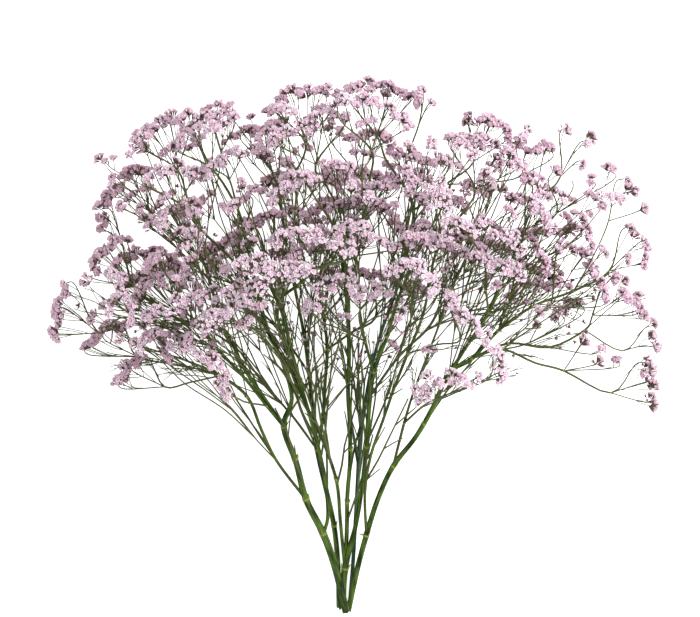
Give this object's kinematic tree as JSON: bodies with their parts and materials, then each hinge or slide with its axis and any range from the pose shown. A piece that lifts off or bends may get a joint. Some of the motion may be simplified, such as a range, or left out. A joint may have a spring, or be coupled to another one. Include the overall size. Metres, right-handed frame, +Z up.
{
  "type": "dried statice bunch",
  "caption": "Lying bunch of cut statice stems, crossed at the cut ends, whose branching green twigs spread into a wide crown of small pink flowers, for display or arranging.",
  "frame": {"origin": "middle of the bounding box's bottom face, on the table that the bunch lies on", "axes": "+Y from the cut ends towards the crown, +X across the crown to the right as seen from above, +Z up from the table"},
  "size_m": [0.6154, 0.5341, 0.2508],
  "materials": {
    "green_stem": "matt, finely ridged",
    "pink_floret": "matt, papery"
  },
  "bodies": {
    "root": {"stem_left": "green_stem", "stem_middle": "green_stem", "stem_back_left": "green_stem", "stem_back_right": "green_stem", "stem_right": "green_stem", "flowers_far_left": "pink_floret", "flowers_low_left": "pink_floret", "flowers_left_rim": "pink_floret", "flowers_left_high_rim": "pink_floret", "flowers_left_shoulder": "pink_floret", "flowers_left_top": "pink_floret", "flowers_left_high_arch": "pink_floret", "flowers_left_arch": "pink_floret", "flowers_left_low_arch": "pink_floret", "flowers_left_curtain": "pink_floret", "flowers_left_front": "pink_floret", "flowers_left_skirt": "pink_floret", "flowers_left_tail": "pink_floret", "flowers_crown_left": "pink_floret", "flowers_crown_peak": "pink_floret", "flowers_crown_right": "pink_floret", "flowers_crown_tips": "pink_floret", "flowers_crown_front": "pink_floret", "flowers_crown_inner": "pink_floret", "flowers_crown_wave": "pink_floret", "flowers_upper_left": "pink_floret", "flowers_middle_left": "pink_floret", "flowers_heart": "pink_floret", "flowers_middle_band": "pink_floret", "flowers_left_middle": "pink_floret", "flowers_middle_wave": "pink_floret", "flowers_long_wave": "pink_floret", "flowers_right_curtain": "pink_floret", "flowers_front": "pink_floret", "flowers_front_left": "pink_floret", "flowers_inner_front": "pink_floret", "flowers_right_top": "pink_floret", "flowers_right_high": "pink_floret", "flowers_right_tips": "pink_floret", "flowers_right_knots": "pink_floret", "flowers_right_high_wing": "pink_floret", "flowers_right_wing": "pink_floret", "flowers_right_band": "pink_floret", "flowers_right_bright": "pink_floret", "flowers_right_chain": "pink_floret", "flowers_right_front": "pink_floret", "flowers_right_low_front": "pink_floret", "flowers_right_edge": "pink_floret", "flowers_right_inner": "pink_floret", "flowers_right_outer": "pink_floret", "flowers_right_low_tip": "pink_floret", "flowers_right_twig": "pink_floret", "flowers_right_under": "pink_floret", "flowers_right_hang": "pink_floret", "flowers_low_front": "pink_floret", "flowers_left_inner_top": "pink_floret", "flowers_under_left": "pink_floret", "flowers_under_top": "pink_floret", "flowers_under_right": "pink_floret", "flowers_under_middle": "pink_floret"}
  },
  "joints": []
}
